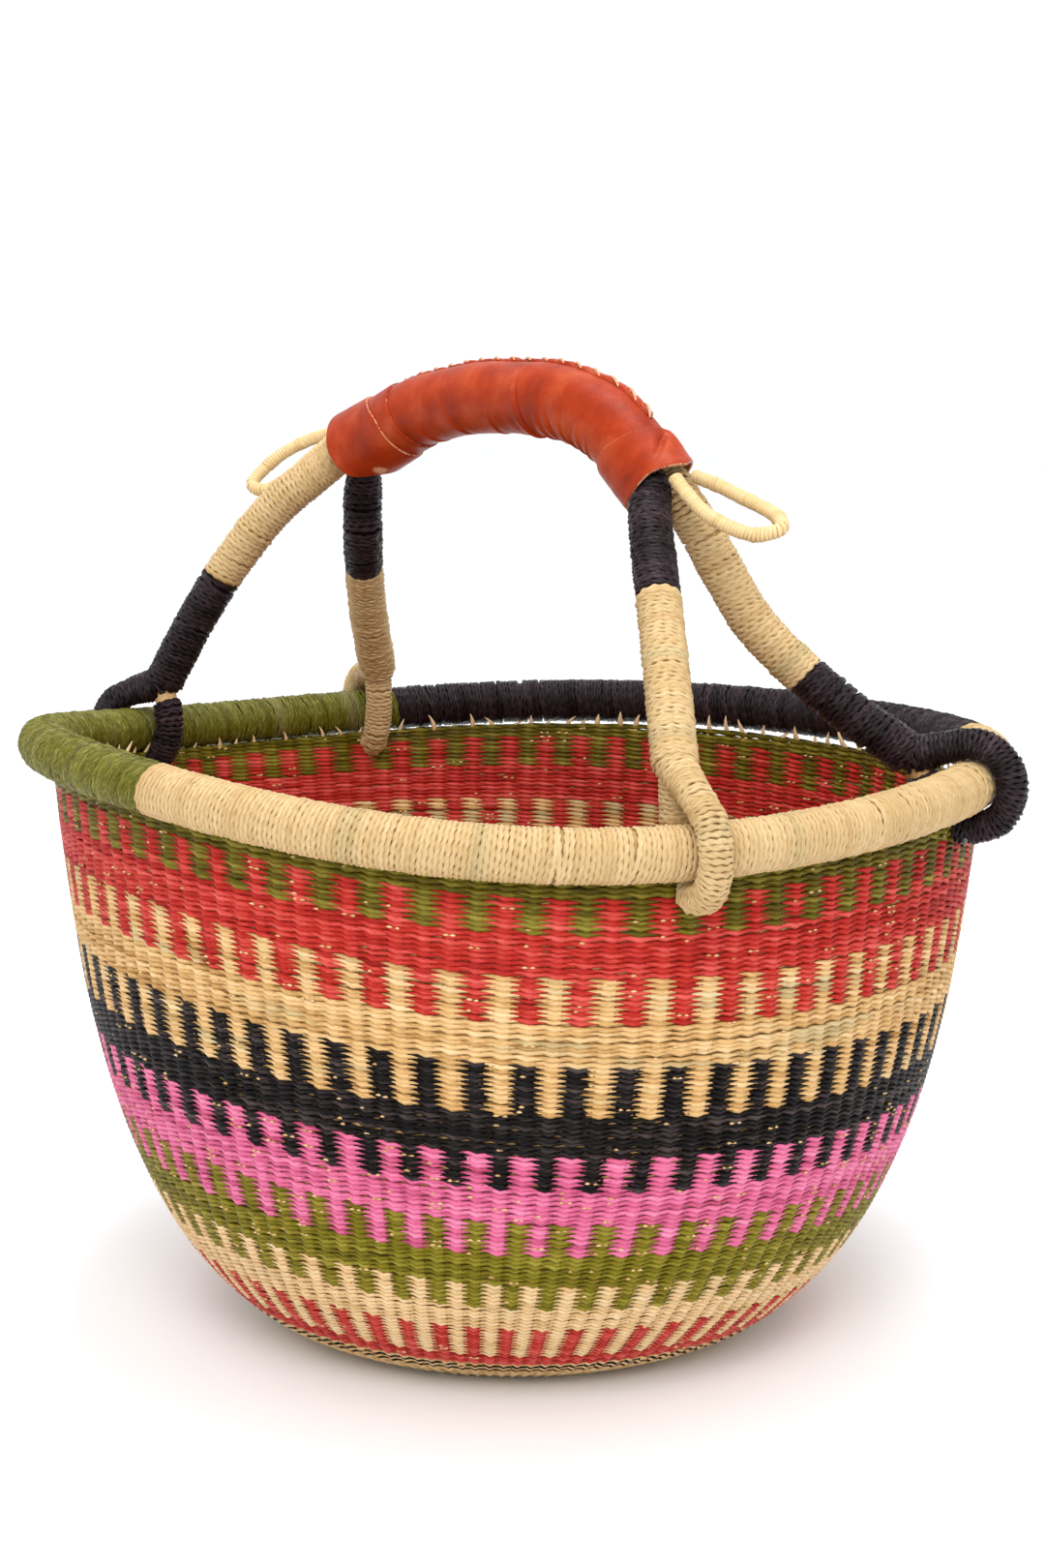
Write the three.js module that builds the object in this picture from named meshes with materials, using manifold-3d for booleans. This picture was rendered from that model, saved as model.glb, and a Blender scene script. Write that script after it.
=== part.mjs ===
// A round woven market basket: twined grass walls on upright stakes, a hoop rim wrapped in
// three colours, and two crossed bails whose middles share one leather grip.
// Millimetres, +Z up. The basket stands on z = 0 and +X runs along the grip.
import * as THREE from 'three';
import { mergeVertices } from 'three/addons/utils/BufferGeometryUtils.js';
import Module from 'manifold-3d';

const wasm = await Module();
wasm.setup();

// ---- driving dimensions ----
const GAP = 0.3; // between pieces that touch
const SEGMENTS = 36; // flats around the basket
const SIDES = 10; // flats around a wrapped leg or strand

const RIM_RADIUS = 200; // to the middle of the hoop
const RIM_HEIGHT = 237.7; // to the middle of the hoop, before it wanders
const RIM_THICKNESS = 20.6;
const RIM_CORE_THICKNESS = 15.4;

// Outside of the wall, as radius and height, from the edge of the flat base to the wall's top.
const WALL_OUTLINE = [
  [99, 0], [118.6, 10.2], [145.7, 38.4], [167.9, 81.3], [183.7, 135.4], [193.5, 198.6], [196.3, 225.7],
];
const WEFT_THICKNESS = 1.6; // one layer of twined grass, inside or outside the stakes
const STAKE_THICKNESS = 2.4;
const STAKE_REACH = 1.1; // how far the stakes stand above the weave, up to the hoop
const STAKE_PANELS = 12; // the wall's stakes stand in panels, side by side

const LEG_THICKNESS = 17.6; // a bail's leg with its wrapping
const CORE_THICKNESS = 12.4; // the bundle of grass inside a bail
const CORE_SPACING = 13.6; // between the two bundles inside the grip
const TINE_THICKNESS = 12.6; // each of the two tines that hold the rim
const LEATHER_THICKNESS = 31; // across the leather grip
const LEATHER_WALL = 2.1;
const CORD_THICKNESS = 6.2; // the wrapped cord of the two hanging loops

// ---- colours ----
const OLIVE = 0x5f6a14;
const RED = 0xb8322c;
const NATURAL = 0xd9b87c;
const BLACK = 0x231f22;
const PINK = 0xd9639f;
const LEATHER = 0xa8552d;
const PALE_LEATHER = 0xc98f66;

// The hoop isn't level. Its height wanders once, twice and three times around the basket.
const RIM_LIFT = 3.7;
const RIM_WANDER = [
  { turns: 1, height: 4.3, peak: 272 },
  { turns: 2, height: 5.9, peak: 67 },
  { turns: 3, height: 3.3, peak: 14 },
];

// The bands of colour, as distances along the wall from the edge of the flat base.
const BANDS = [
  { name: 'border', colour: NATURAL, from: 20, to: 29 },
  { name: 'red_lower', colour: RED, from: 29, to: 48.5 },
  { name: 'natural_lower', colour: NATURAL, from: 48.5, to: 80 },
  { name: 'olive_lower', colour: OLIVE, from: 80, to: 109 },
  { name: 'pink', colour: PINK, from: 109, to: 141 },
  { name: 'black', colour: BLACK, from: 141, to: 176 },
  { name: 'natural_upper', colour: NATURAL, from: 176, to: 212 },
  { name: 'red_upper', colour: RED, from: 212, to: 242 },
];
const TOP_BAND = { name: 'olive_upper', colour: OLIVE, from: 242 };
const BASE_EDGE = 20; // the base weave turns up the wall this far

// The colours of the rim's wrapping, as arcs in degrees from +X.
const RIM_WRAPS = [
  { name: 'rim_wrap_natural', colour: NATURAL, from: 272, to: 411 },
  { name: 'rim_wrap_black', colour: BLACK, from: 51, to: 153 },
  { name: 'rim_wrap_olive', colour: OLIVE, from: 153, to: 272 },
];

// The grip's centreline, along +X at y = 0.
const GRIP_ROUTE = [[-100, 369], [-56, 387], [3, 393.5], [47, 386.5], [82, 360]];
const GRIP_STATIONS = 6; // points that a bail takes through the grip

// Each leg runs from the grip's mouth to the crotch of its fork, and its wrapping changes
// colour at one height. The fork straddles the rim at the foot's angle.
const LEGS = {
  left: {
    route: [[-112, -8, 361], [-130, -20, 345], [-149, -32, 319], [-164, -42, 292], [-178, -52, 261]],
    foot: 197, colourChange: 310, upper: NATURAL, lower: BLACK,
  },
  right: {
    route: [[89, 5, 353], [95, 8, 343], [104, 14, 324], [115, 21, 304], [143, 39, 274], [167, 55, 254]],
    foot: 19, colourChange: 285, upper: NATURAL, lower: BLACK,
  },
  back: {
    route: [[-112, 13, 349], [-118, 18, 331], [-132, 31, 312], [-146, 46, 289], [-164, 68, 258]],
    foot: 157, colourChange: 312, upper: BLACK, lower: NATURAL,
  },
  front: {
    route: [[87, -13, 351], [98, -23, 337], [112, -35, 320], [138, -58, 289], [160, -78, 264]],
    foot: 334, colourChange: 320, upper: BLACK, lower: NATURAL,
  },
};
const BAILS = {
  dark_foot_bail_core: { start: 'left', end: 'right', side: -1 },
  pale_foot_bail_core: { start: 'back', end: 'front', side: 1 },
};
const LAY_GAP = 1; // between a bundle and its wrapping, for the bends
const WRAP_START = 2; // the wrapping starts this many millimetres past a leg's first point
const CORE_END = 12; // the core stops this far short of the fork's crotch

// The hanging loops, from one root to the other around the tip.
const HANGING_LOOPS = {
  left_hanging_loop: [
    [-108, -6, 375], [-121, -2.5, 368.5], [-134, -5.5, 359], [-142, -9.5, 352], [-150, -14.5, 347.5],
    [-157, -15.5, 350], [-155.5, -9.5, 357], [-150, -4, 364], [-139, 2, 370.5], [-122, 5, 375], [-108, 5, 375],
  ],
  right_hanging_loop: [
    [94, -6, 364], [103, -8, 357.5], [113, -9, 351], [125, -8, 346], [136, -5, 343.5],
    [143, 1, 346], [136, 7, 350], [125, 8, 354], [113, 8, 358], [103, 7, 361.5], [94, 6, 364],
  ],
};

const DEGREE = Math.PI / 180;
const group = new THREE.Group();

// ---- helpers ----
function add(name, colour, geometry, roughness = 0.85) {
  const material = new THREE.MeshStandardMaterial({ color: colour, roughness, metalness: 0 });
  const mesh = new THREE.Mesh(geometry, material);
  mesh.name = name;
  group.add(mesh);
}

function toSolid(geometry) {
  const bare = geometry.clone();
  bare.deleteAttribute('normal');
  bare.deleteAttribute('uv');
  const merged = mergeVertices(bare, 1e-4);
  const vertProperties = new Float32Array(merged.attributes.position.array);
  const triVerts = new Uint32Array(merged.index.array);
  return new wasm.Manifold(new wasm.Mesh({ numProp: 3, vertProperties, triVerts }));
}

function fromSolid(solid) {
  const mesh = solid.getMesh();
  const geometry = new THREE.BufferGeometry();
  geometry.setAttribute('position', new THREE.BufferAttribute(mesh.vertProperties, 3));
  geometry.setIndex(new THREE.BufferAttribute(mesh.triVerts, 1));
  geometry.computeVertexNormals();
  return geometry;
}

// How far the basket stands above its level form at the rim, at an angle in radians.
function rimLift(angle) {
  return RIM_WANDER.reduce(
    (sum, wave) => sum + wave.height * Math.cos(wave.turns * (angle - wave.peak * DEGREE)),
    RIM_LIFT,
  );
}

// Lets a level geometry wander with the rim, more towards the top and not at all at the base.
function settle(geometry) {
  const position = geometry.attributes.position;
  for (let i = 0; i < position.count; i += 1) {
    const angle = Math.atan2(position.getY(i), position.getX(i));
    const z = position.getZ(i);
    position.setZ(i, z + rimLift(angle) * (z / RIM_HEIGHT) ** 2);
  }
  return geometry;
}

function rimPoint(angle, outward = 0, upward = 0) {
  const radius = RIM_RADIUS + outward;
  const height = RIM_HEIGHT + rimLift(angle) + upward;
  return new THREE.Vector3(radius * Math.cos(angle), radius * Math.sin(angle), height);
}

class RimArc extends THREE.Curve {
  constructor(from, to) {
    super();
    this.from = from;
    this.to = to;
  }

  getPoint(t) {
    return rimPoint(this.from + (this.to - this.from) * t);
  }
}

class Stretch extends THREE.Curve {
  constructor(curve, from, to) {
    super();
    this.curve = curve;
    this.from = from;
    this.to = to;
  }

  getPoint(t) {
    return this.curve.getPointAt(this.from + (this.to - this.from) * t);
  }
}

function polygon(radius, sides) {
  const corner = (i) => new THREE.Vector2(
    radius * Math.cos((2 * Math.PI * i) / sides),
    radius * Math.sin((2 * Math.PI * i) / sides),
  );
  return Array.from({ length: sides }, (_, i) => corner(i));
}

// A round bar along a curve, or a pipe whose bore clears a bar of diameter `around`.
function tube(curve, step, thickness, { around = 0, sides = SIDES } = {}) {
  const section = new THREE.Shape(polygon(thickness / 2, sides));
  if (around > 0) {
    const bore = (around / 2 + GAP) / Math.cos(Math.PI / sides);
    section.holes.push(new THREE.Path(polygon(bore, sides)));
  }
  const steps = Math.max(2, Math.round(curve.getLength() / step));
  return new THREE.ExtrudeGeometry(section, { steps, extrudePath: curve });
}

function smooth(points) {
  return new THREE.CatmullRomCurve3(points.map((p) => new THREE.Vector3(...p)), false, 'centripetal');
}

// The fraction along a curve that lies nearest to a point.
function nearest(curve, point) {
  const samples = 400;
  let best = 0;
  let shortest = Infinity;
  for (let i = 0; i <= samples; i += 1) {
    const distance = curve.getPointAt(i / samples).distanceTo(point);
    if (distance < shortest) {
      shortest = distance;
      best = i / samples;
    }
  }
  return best;
}

// ---- the wall: flat-sided rings that share their stations, so the layers stay parallel ----
const outline = new THREE.SplineCurve(WALL_OUTLINE.map(([r, z]) => new THREE.Vector2(r, z)));
const wallLength = outline.getLength();
const STATIONS = [0, ...BANDS.map((band) => band.from), TOP_BAND.from, wallLength];

function outlineAt(distance) {
  return outline.getPointAt(Math.min(1, distance / wallLength));
}

// The wall's outline at one station, moved inwards by a depth square to both of its flats.
function wallPoint(index, depth) {
  const here = outlineAt(STATIONS[index]);
  const before = index > 0 ? outlineAt(STATIONS[index - 1]) : new THREE.Vector2(0, 0);
  const after = index < STATIONS.length - 1 ? outlineAt(STATIONS[index + 1]) : here;
  const normals = [[before, here], [here, after]]
    .filter(([a, b]) => a.distanceTo(b) > 0)
    .map(([a, b]) => new THREE.Vector2(a.y - b.y, b.x - a.x).normalize());
  const inward = normals.reduce((sum, normal) => sum.add(normal), new THREE.Vector2()).normalize();
  return here.clone().addScaledVector(inward, depth / inward.dot(normals[0]));
}

function revolve(profile) {
  const geometry = new THREE.LatheGeometry([...profile, profile[0].clone()], SEGMENTS);
  return geometry.rotateX(Math.PI / 2);
}

// A ring of the wall between two stations and two depths, its ends drawn back by half a gap.
function ring(first, last, outerDepth, innerDepth, rise = 0) {
  const side = (depth) => {
    const points = [];
    for (let i = first; i <= last; i += 1) points.push(wallPoint(i, depth));
    const bottom = points[0].clone().lerp(points[1], GAP / 2 / points[0].distanceTo(points[1]));
    const top = points.at(-1).clone();
    const below = points.at(-2);
    const length = top.distanceTo(below);
    top.lerpVectors(below, points.at(-1), (length - GAP / 2 + rise) / length);
    return [bottom, ...points.slice(1, -1), top];
  };
  return settle(revolve([...side(outerDepth), ...side(innerDepth).reverse()]));
}

// The layers of the base, which close on the axis.
function dish(lastStation, outerDepth, innerDepth) {
  const side = (depth) => {
    const points = [];
    for (let i = 0; i <= lastStation; i += 1) points.push(wallPoint(i, depth));
    const length = points.at(-1).distanceTo(points.at(-2));
    points[lastStation] = points.at(-2).clone().lerp(points.at(-1), (length - GAP / 2) / length);
    return [new THREE.Vector2(0, depth), ...points];
  };
  const profile = [...side(outerDepth), ...side(innerDepth).reverse()];
  const geometry = new THREE.LatheGeometry(profile, SEGMENTS).rotateX(Math.PI / 2);
  return settle(geometry);
}

// ---- the forks that straddle the rim ----
const tineRing = RIM_THICKNESS / 2 + TINE_THICKNESS / 2 + 3 * GAP; // around the hoop's middle

// A point beside the hoop at a foot: 0 degrees is outward and 90 is straight up.
function besideRim(foot, degrees, distance = tineRing) {
  const turn = degrees * DEGREE;
  return rimPoint(foot, distance * Math.cos(turn), distance * Math.sin(turn));
}

function tines(leg) {
  const foot = leg.foot * DEGREE;
  const crotch = new THREE.Vector3(...leg.route.at(-1));
  const outer = [crotch, ...[78, 40, 0, -45, -90].map((turn) => besideRim(foot, turn))];
  const inner = [crotch, besideRim(foot, 172, tineRing + 2), ...[215, 245, 270].map((turn) => besideRim(foot, turn))];
  return [outer, inner].map((points) => new THREE.CatmullRomCurve3(points, false, 'centripetal'));
}

const TINE_STEP = 7;
const TINE_SIDES = 8;
const tineClearance = Object.values(LEGS).map((leg) => tines(leg)
  .map((path) => toSolid(tube(path, TINE_STEP, TINE_THICKNESS + 4 * GAP, { sides: TINE_SIDES })))
  .reduce((a, b) => a.add(b)));

function cutForTines(geometry) {
  const solid = tineClearance.reduce((left, tine) => left.subtract(tine), toSolid(geometry));
  return fromSolid(solid);
}

// The wedge that one panel of stakes stands in, half a gap clear of the wedges beside it.
function panelSpace(index) {
  const halfAngle = Math.PI / STAKE_PANELS;
  const middle = (2 * index + 1) * halfAngle;
  const reach = 2 * RIM_RADIUS;
  const apex = GAP / 2 / Math.sin(halfAngle);
  const corner = (angle) => new THREE.Vector2(
    apex * Math.cos(middle) + reach * Math.cos(angle),
    apex * Math.sin(middle) + reach * Math.sin(angle),
  );
  const section = new THREE.Shape([
    new THREE.Vector2(apex * Math.cos(middle), apex * Math.sin(middle)),
    corner(middle - halfAngle),
    corner(middle + halfAngle),
  ]);
  return new THREE.ExtrudeGeometry(section, { depth: 2 * RIM_HEIGHT, bevelEnabled: false });
}

// ---- base, stakes and weft ----
const STAKE_DEPTH = WEFT_THICKNESS + GAP;
const INNER_DEPTH = STAKE_DEPTH + STAKE_THICKNESS + GAP;
const WALL_THICKNESS = INNER_DEPTH + WEFT_THICKNESS;
const baseStation = STATIONS.indexOf(BASE_EDGE);
const topStation = STATIONS.length - 1;

add('base_weave_outer', NATURAL, dish(baseStation, 0, WEFT_THICKNESS));
add('base_stakes', NATURAL, dish(baseStation, STAKE_DEPTH, STAKE_DEPTH + STAKE_THICKNESS));
add('base_weave_inner', NATURAL, dish(baseStation, INNER_DEPTH, WALL_THICKNESS));

const stakes = ring(baseStation, topStation, STAKE_DEPTH, STAKE_DEPTH + STAKE_THICKNESS, STAKE_REACH);
const allStakes = toSolid(cutForTines(stakes));
for (let i = 0; i < STAKE_PANELS; i += 1) {
  const panel = allStakes.intersect(toSolid(panelSpace(i)));
  add(`stake_panel_${String(i + 1).padStart(2, '0')}`, NATURAL, fromSolid(panel));
}

BANDS.forEach((band, i) => {
  const first = baseStation + i;
  add(`${band.name}_weft_outer`, band.colour, ring(first, first + 1, 0, WEFT_THICKNESS));
  add(`${band.name}_weft_inner`, band.colour, ring(first, first + 1, INNER_DEPTH, WALL_THICKNESS));
});
const topOuter = ring(topStation - 1, topStation, 0, WEFT_THICKNESS);
const topInner = ring(topStation - 1, topStation, INNER_DEPTH, WALL_THICKNESS);
add(`${TOP_BAND.name}_weft_outer`, TOP_BAND.colour, cutForTines(topOuter));
add(`${TOP_BAND.name}_weft_inner`, TOP_BAND.colour, cutForTines(topInner));

// ---- rim ----
const RIM_STEP = 31;
const hoop = new THREE.TorusGeometry(RIM_RADIUS, RIM_CORE_THICKNESS / 2, 8, SEGMENTS);
hoop.translate(0, 0, RIM_HEIGHT);
const hoopPosition = hoop.attributes.position;
for (let i = 0; i < hoopPosition.count; i += 1) {
  const angle = Math.atan2(hoopPosition.getY(i), hoopPosition.getX(i));
  hoopPosition.setZ(i, hoopPosition.getZ(i) + rimLift(angle));
}
add('rim_hoop', NATURAL, hoop);

const halfGapAngle = GAP / 2 / RIM_RADIUS;
for (const wrap of RIM_WRAPS) {
  const arc = new RimArc(wrap.from * DEGREE + halfGapAngle, wrap.to * DEGREE - halfGapAngle);
  const winding = tube(arc, RIM_STEP, RIM_THICKNESS, { around: RIM_CORE_THICKNESS + 3 * GAP });
  add(wrap.name, wrap.colour, winding);
}

// ---- bails: two bundles that cross inside the grip, with a wrapped leg at each end ----
const grip = smooth(GRIP_ROUTE.map(([x, z]) => [x, 0, z]));

// Where one bundle lies in the grip. It turns half way round the other, over or under it.
function inGrip(fraction, side) {
  const middle = grip.getPointAt(fraction);
  const along = grip.getTangentAt(fraction);
  const across = new THREE.Vector3(0, 1, 0);
  const up = new THREE.Vector3().crossVectors(along, across);
  const turn = Math.PI * fraction;
  return middle
    .addScaledVector(across, (side * CORE_SPACING * Math.cos(turn)) / 2)
    .addScaledVector(up, (-side * CORE_SPACING * Math.sin(turn)) / 2);
}

function bailRoute({ start, end, side }) {
  const throughGrip = [];
  for (let i = 0; i <= GRIP_STATIONS; i += 1) {
    throughGrip.push(inGrip(i / GRIP_STATIONS, side).toArray());
  }
  return smooth([...LEGS[start].route.toReversed(), ...throughGrip, ...LEGS[end].route]);
}

const CORE_STEP = 14;
const WRAP_STEP = 12;

function addLeg(name, leg, route, fromStart) {
  const length = route.getLength();
  const toward = fromStart ? -1 : 1; // from the grip to the foot along the route
  const foot = fromStart ? 0 : 1;
  const mouth = nearest(route, new THREE.Vector3(...leg.route[0])) + (toward * WRAP_START) / length;
  let change = mouth;
  while (route.getPointAt(change).z > leg.colourChange) change += toward / 400;
  const halfGap = (toward * GAP) / 2 / length;
  const stretch = (a, b) => new Stretch(route, Math.min(a, b), Math.max(a, b));
  const upper = tube(stretch(mouth, change - halfGap), WRAP_STEP, LEG_THICKNESS, {
    around: CORE_THICKNESS + 2 * LAY_GAP,
  });
  add(`${name}_leg_wrap`, leg.upper, upper);

  const coreRoom = stretch(change - 4 * halfGap, foot - (toward * (CORE_END - 2 * GAP)) / length);
  const bore = toSolid(tube(coreRoom, WRAP_STEP, CORE_THICKNESS + 2 * LAY_GAP));
  const shank = toSolid(tube(stretch(change + halfGap, foot), WRAP_STEP, LEG_THICKNESS));
  const fork = tines(leg)
    .map((path) => toSolid(tube(path, TINE_STEP, TINE_THICKNESS, { sides: TINE_SIDES })))
    .reduce((solid, tine) => solid.add(tine), shank)
    .subtract(bore);
  add(`${name}_leg_fork`, leg.lower, fromSolid(fork));
}

for (const [name, bail] of Object.entries(BAILS)) {
  const route = bailRoute(bail);
  const inset = CORE_END / route.getLength();
  add(name, NATURAL, tube(new Stretch(route, inset, 1 - inset), CORE_STEP, CORE_THICKNESS, { sides: 8 }));
  addLeg(bail.start, LEGS[bail.start], route, true);
  addLeg(bail.end, LEGS[bail.end], route, false);
}

// ---- leather grip ----
const LEATHER_STEP = 16;
const SLEEVE_INSET = 0.03; // of the grip's length, at each mouth
const boreThickness = LEATHER_THICKNESS - 2 * LEATHER_WALL - 2 * GAP;
const sleeve = tube(new Stretch(grip, SLEEVE_INSET, 1 - SLEEVE_INSET), LEATHER_STEP, LEATHER_THICKNESS, {
  around: boreThickness, sides: 12,
});
add('leather_grip', LEATHER, sleeve, 0.55);

const CUFF_THICKNESS = LEATHER_THICKNESS + 4.6;
const CUFFS = [
  { name: 'leather_end_strip', from: 0.04, to: 0.13 },
  { name: 'leather_cuff', from: 0.87, to: 0.965 },
];
for (const cuff of CUFFS) {
  const stretch = new Stretch(grip, cuff.from, cuff.to);
  const band = tube(stretch, LEATHER_STEP, CUFF_THICKNESS, { around: LEATHER_THICKNESS + 2 * GAP, sides: 12 });
  add(cuff.name, cuff.from > 0.5 ? LEATHER : PALE_LEATHER, band, 0.6);
}

// The seam's whipped thong lies along the top of the grip between the two cuffs.
const THONG_THICKNESS = 3;
const THONG_ANGLE = 12 * DEGREE; // from straight up, towards +Y
const thongPoints = [];
for (let i = 0; i <= 5; i += 1) {
  const fraction = 0.15 + (0.69 * i) / 5;
  const along = grip.getTangentAt(fraction);
  const up = new THREE.Vector3().crossVectors(along, new THREE.Vector3(0, 1, 0));
  const reach = LEATHER_THICKNESS / 2 + THONG_THICKNESS / 2 + 2 * GAP;
  const point = grip.getPointAt(fraction)
    .addScaledVector(up, reach * Math.cos(THONG_ANGLE))
    .add(new THREE.Vector3(0, reach * Math.sin(THONG_ANGLE), 0));
  thongPoints.push(point.toArray());
}
add('leather_seam_thong', LEATHER, tube(smooth(thongPoints), LEATHER_STEP, THONG_THICKNESS, { sides: 8 }), 0.6);

// ---- hanging loops ----
for (const [name, points] of Object.entries(HANGING_LOOPS)) {
  add(name, NATURAL, tube(smooth(points), CORD_THICKNESS, CORD_THICKNESS, { sides: 8 }));
}

export default group;
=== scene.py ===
"""A woven market basket: the looks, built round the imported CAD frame. Sizes are in millimetres
until make_mesh() turns them into metres."""
import math

import bpy
import numpy as np
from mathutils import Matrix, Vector


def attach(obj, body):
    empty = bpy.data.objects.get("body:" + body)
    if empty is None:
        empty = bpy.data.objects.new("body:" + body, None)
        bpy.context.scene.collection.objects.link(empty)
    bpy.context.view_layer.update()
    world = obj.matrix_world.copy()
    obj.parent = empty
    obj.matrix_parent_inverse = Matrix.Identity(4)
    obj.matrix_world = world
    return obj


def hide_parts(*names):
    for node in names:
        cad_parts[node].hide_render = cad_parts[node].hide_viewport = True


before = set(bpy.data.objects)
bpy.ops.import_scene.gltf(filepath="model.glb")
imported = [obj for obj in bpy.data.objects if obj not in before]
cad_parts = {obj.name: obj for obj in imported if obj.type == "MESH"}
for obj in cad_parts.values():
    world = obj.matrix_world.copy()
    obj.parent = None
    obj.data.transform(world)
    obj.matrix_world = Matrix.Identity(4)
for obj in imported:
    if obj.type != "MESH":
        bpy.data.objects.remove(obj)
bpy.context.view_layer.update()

# ---- driving sizes, as in the CAD, in millimetres ----
MM = 0.001
RIM_RADIUS = 200.0
RIM_HEIGHT = 237.7
RIM_THICKNESS = 20.6
WALL_OUTLINE = [
    (99, 0), (118.6, 10.2), (145.7, 38.4), (167.9, 81.3), (183.7, 135.4), (193.5, 198.6), (196.3, 225.7),
]
WALL_THICKNESS = 6.2
BASE_RADIUS = WALL_OUTLINE[0][0]
LEG_THICKNESS = 17.6
CORE_SPACING = 13.6
TINE_THICKNESS = 12.6
TINE_CLEARANCE = 0.9
LEATHER_RADIUS = 15.5
CORD_THICKNESS = 6.2

# The hoop's height wanders (turns around the basket, height, angle of the peak).
RIM_LIFT = 3.7
RIM_WANDER = [(1, 4.3, 272), (2, 5.9, 67), (3, 3.3, 14)]

GRIP_ROUTE = [(-100, 0, 369), (-56, 0, 387), (3, 0, 393.5), (47, 0, 386.5), (82, 0, 360)]
# A leg's route runs down from the grip. foot is the angle of the rim it straddles, in degrees, and change
# is the height at which the upper winding gives way to the lower one.
LEGS = {
    "left": {
        "route": [(-112, -8, 361), (-130, -20, 345), (-149, -32, 319), (-164, -42, 292), (-178, -52, 261)],
        "foot": 197, "change": 310, "upper": "natural", "lower": "black",
    },
    "right": {
        "route": [(89, 5, 353), (95, 8, 343), (104, 14, 324), (115, 21, 304), (143, 39, 274), (167, 55, 254)],
        "foot": 19, "change": 285, "upper": "natural", "lower": "black",
    },
    "back": {
        "route": [(-112, 13, 349), (-118, 18, 331), (-132, 31, 312), (-146, 46, 289), (-164, 68, 258)],
        "foot": 157, "change": 312, "upper": "black", "lower": "natural",
    },
    "front": {
        "route": [(87, -13, 351), (98, -23, 337), (112, -35, 320), (138, -58, 289), (160, -78, 264)],
        "foot": 334, "change": 320, "upper": "black", "lower": "natural",
    },
}
BAILS = [("left", "right", -1), ("back", "front", 1)]
# The loops run from one root to the other round the tip. The left one stands clear of its leg's winding.
HANGING_LOOPS = {
    "left": [
        (-108, -5, 376), (-121, -1.4, 369.8), (-134, -4.9, 359.8), (-142, -8.8, 353), (-150, -13.6, 348.6),
        (-157, -14.8, 351), (-155.5, -9.2, 357.5), (-150, -4, 364), (-139, 2, 370.5), (-122, 5, 375),
        (-108, 5, 375),
    ],
    "right": [
        (94, -6, 364), (103, -8, 357.5), (113, -9, 351), (125, -8, 346), (136, -5, 343.5), (143, 1, 346),
        (136, 7, 350), (125, 8, 354), (113, 8, 358), (103, 7, 361.5), (94, 6, 364),
    ],
}
STAKE_PANELS = 12
SIDES = {1: "outer", -1: "inner"}  # the faces of the wall

# ---- the weave ----
RIBS = 128  # stakes around the wall
TOP_ROW = 257.5  # distance along the wall from the edge of the base
WALL_REACH = 4.0  # how far the weave runs on past the top of the outline
# Where each colour gives way to the next one down: on odd ribs, then on even ribs. Inside they change places.
BANDS = [
    ("olive_upper", 253.0, 237.0), ("red_upper", 222.0, 202.5), ("natural_upper", 165.5, 186.0),
    ("black", 133.0, 149.0), ("pink", 101.0, 117.0), ("olive_lower", 87.0, 73.0),
    ("natural_lower", 38.0, 59.0), ("red_lower", 29.0, 29.0), ("border", 20.0, 20.0), ("base", -99.0, -99.0),
]
BAND_PAINT = {
    "olive_upper": "olive_dark", "red_upper": "red", "natural_upper": "natural", "black": "black",
    "pink": "pink", "olive_lower": "olive", "natural_lower": "natural_pale", "red_lower": "red",
    "border": "natural", "border_black": "black", "base": "natural",
}

rng = np.random.default_rng(20)


# ---- geometry helpers ----
def turned_outward(points, faces):
    """Turns every face round if together they enclose less than nothing."""
    volume = 0.0
    for group in faces:
        first = points[group[:, 0]]
        for k in range(1, group.shape[1] - 1):
            volume += np.sum(first * np.cross(points[group[:, k]], points[group[:, k + 1]]))
    return faces if volume >= 0 else [group[:, ::-1] for group in faces]


def add_object(name, data):
    thing = bpy.data.objects.new(name, data)
    bpy.context.scene.collection.objects.link(thing)
    return thing


def make_mesh(name, points, faces, attributes=None):
    """A mesh object. points in millimetres, faces as integer arrays with one row per face, attributes
    as arrays with one number or one vector per point."""
    faces = turned_outward(np.asarray(points), faces)
    mesh = bpy.data.meshes.new(name)
    mesh.vertices.add(len(points))
    mesh.vertices.foreach_set("co", (np.asarray(points) * MM).astype(np.float32).ravel())
    totals = np.concatenate([np.full(len(f), f.shape[1]) for f in faces])
    corners = np.concatenate([f.ravel() for f in faces]).astype(np.int32)
    mesh.loops.add(len(corners))
    mesh.loops.foreach_set("vertex_index", corners)
    mesh.polygons.add(len(totals))
    starts = np.concatenate([[0], np.cumsum(totals)[:-1]]).astype(np.int32)
    mesh.polygons.foreach_set("loop_start", starts)
    mesh.update(calc_edges=True)
    mesh.polygons.foreach_set("use_smooth", np.ones(len(totals), bool))
    for label, values in (attributes or {}).items():
        kind = "FLOAT" if values.ndim == 1 else "FLOAT_VECTOR"
        key = "value" if values.ndim == 1 else "vector"
        layer = mesh.attributes.new(label, kind, "POINT")
        layer.data.foreach_set(key, values.astype(np.float32).ravel())
    return add_object(name, mesh)


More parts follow.
